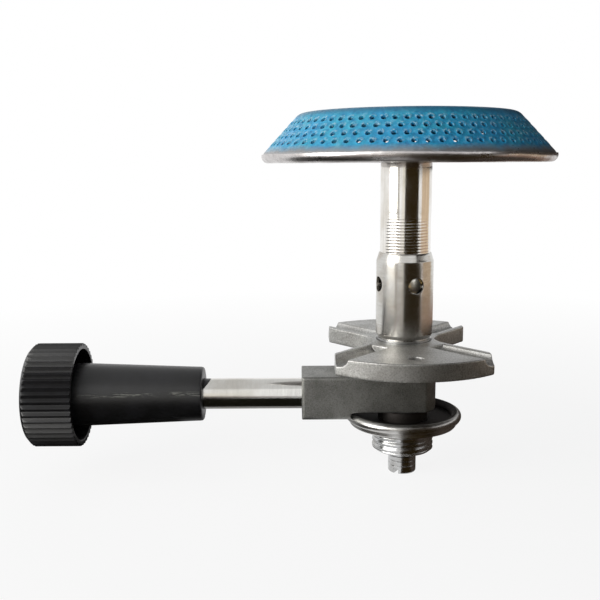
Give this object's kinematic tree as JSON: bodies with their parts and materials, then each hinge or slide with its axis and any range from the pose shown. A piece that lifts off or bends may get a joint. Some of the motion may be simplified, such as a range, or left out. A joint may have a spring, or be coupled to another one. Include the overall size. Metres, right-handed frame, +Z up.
{
  "type": "bunsen burner",
  "caption": "Screw-on gas burner with a perforated conical head, mixing tube, air sleeve, grooved pan support, needle valve with a ribbed knob, and a threaded bottle connector.",
  "frame": {"origin": "on the burner axis at the underside of the seating dish, which is the top of the bottle thread", "axes": "+Z up along the burner axis; the valve spindle lies along X with the knob at the -X end"},
  "size_m": [0.1332, 0.0728, 0.093],
  "materials": {
    "enamel": "glossy vitreous enamel over sheet steel",
    "pan_steel": "satin rolled edge, fine polish marks",
    "plated_tube": "bright nickel plate over drawn tube",
    "sleeve_steel": "turned, satin bright",
    "turned_steel": "turned, satin",
    "spindle_steel": "ground rod, satin",
    "dish_steel": "pressed sheet, satin bright",
    "cast_metal": "as-cast grey, fine grain",
    "support_metal": "as-cast grey, lightly tumbled",
    "brass": "machined",
    "sintered_bronze": "sintered grains",
    "copper": "soft washer",
    "fibre": "pressed fibre",
    "rubber": "matte nitrile",
    "knob_plastic": "moulded black plastic, lightly scuffed"
  },
  "bodies": {
    "burner": {"bottle_connector": "turned_steel", "bottle_seal": "rubber", "opening_pin": "turned_steel", "inlet_filter": "sintered_bronze", "connector_seal": "fibre", "seating_dish": "dish_steel", "valve_body": "cast_metal", "valve_seat": "brass", "pan_support": "support_metal", "support_washer": "turned_steel", "jet": "brass", "jet_washer": "copper", "jet_filter": "sintered_bronze", "air_sleeve": "sleeve_steel", "mixing_tube": "plated_tube", "burner_pan": "pan_steel", "head_washer": "turned_steel", "head_nut": "turned_steel", "burner_cap": "enamel"},
    "needle": {"pad_carrier": "brass", "sealing_pad": "rubber"},
    "control": {"spindle": "spindle_steel", "spindle_seals": "rubber", "knob": "knob_plastic"}
  },
  "joints": [
    {"name": "needle_lift", "type": "slide", "parent": "burner", "child": "needle", "axis": [-1, 0, 0], "range_m": [0, 0.0014]},
    {"name": "knob_turn", "type": "hinge", "parent": "needle", "child": "control", "pos_m": [-0.09, 0, 0.0081], "axis": [-1, 0, 0], "range_deg": [0, 630]}
  ],
  "couplings": [
    {"joint": "knob_turn", "follows": "needle_lift", "rad_per_m": 7854}
  ]
}
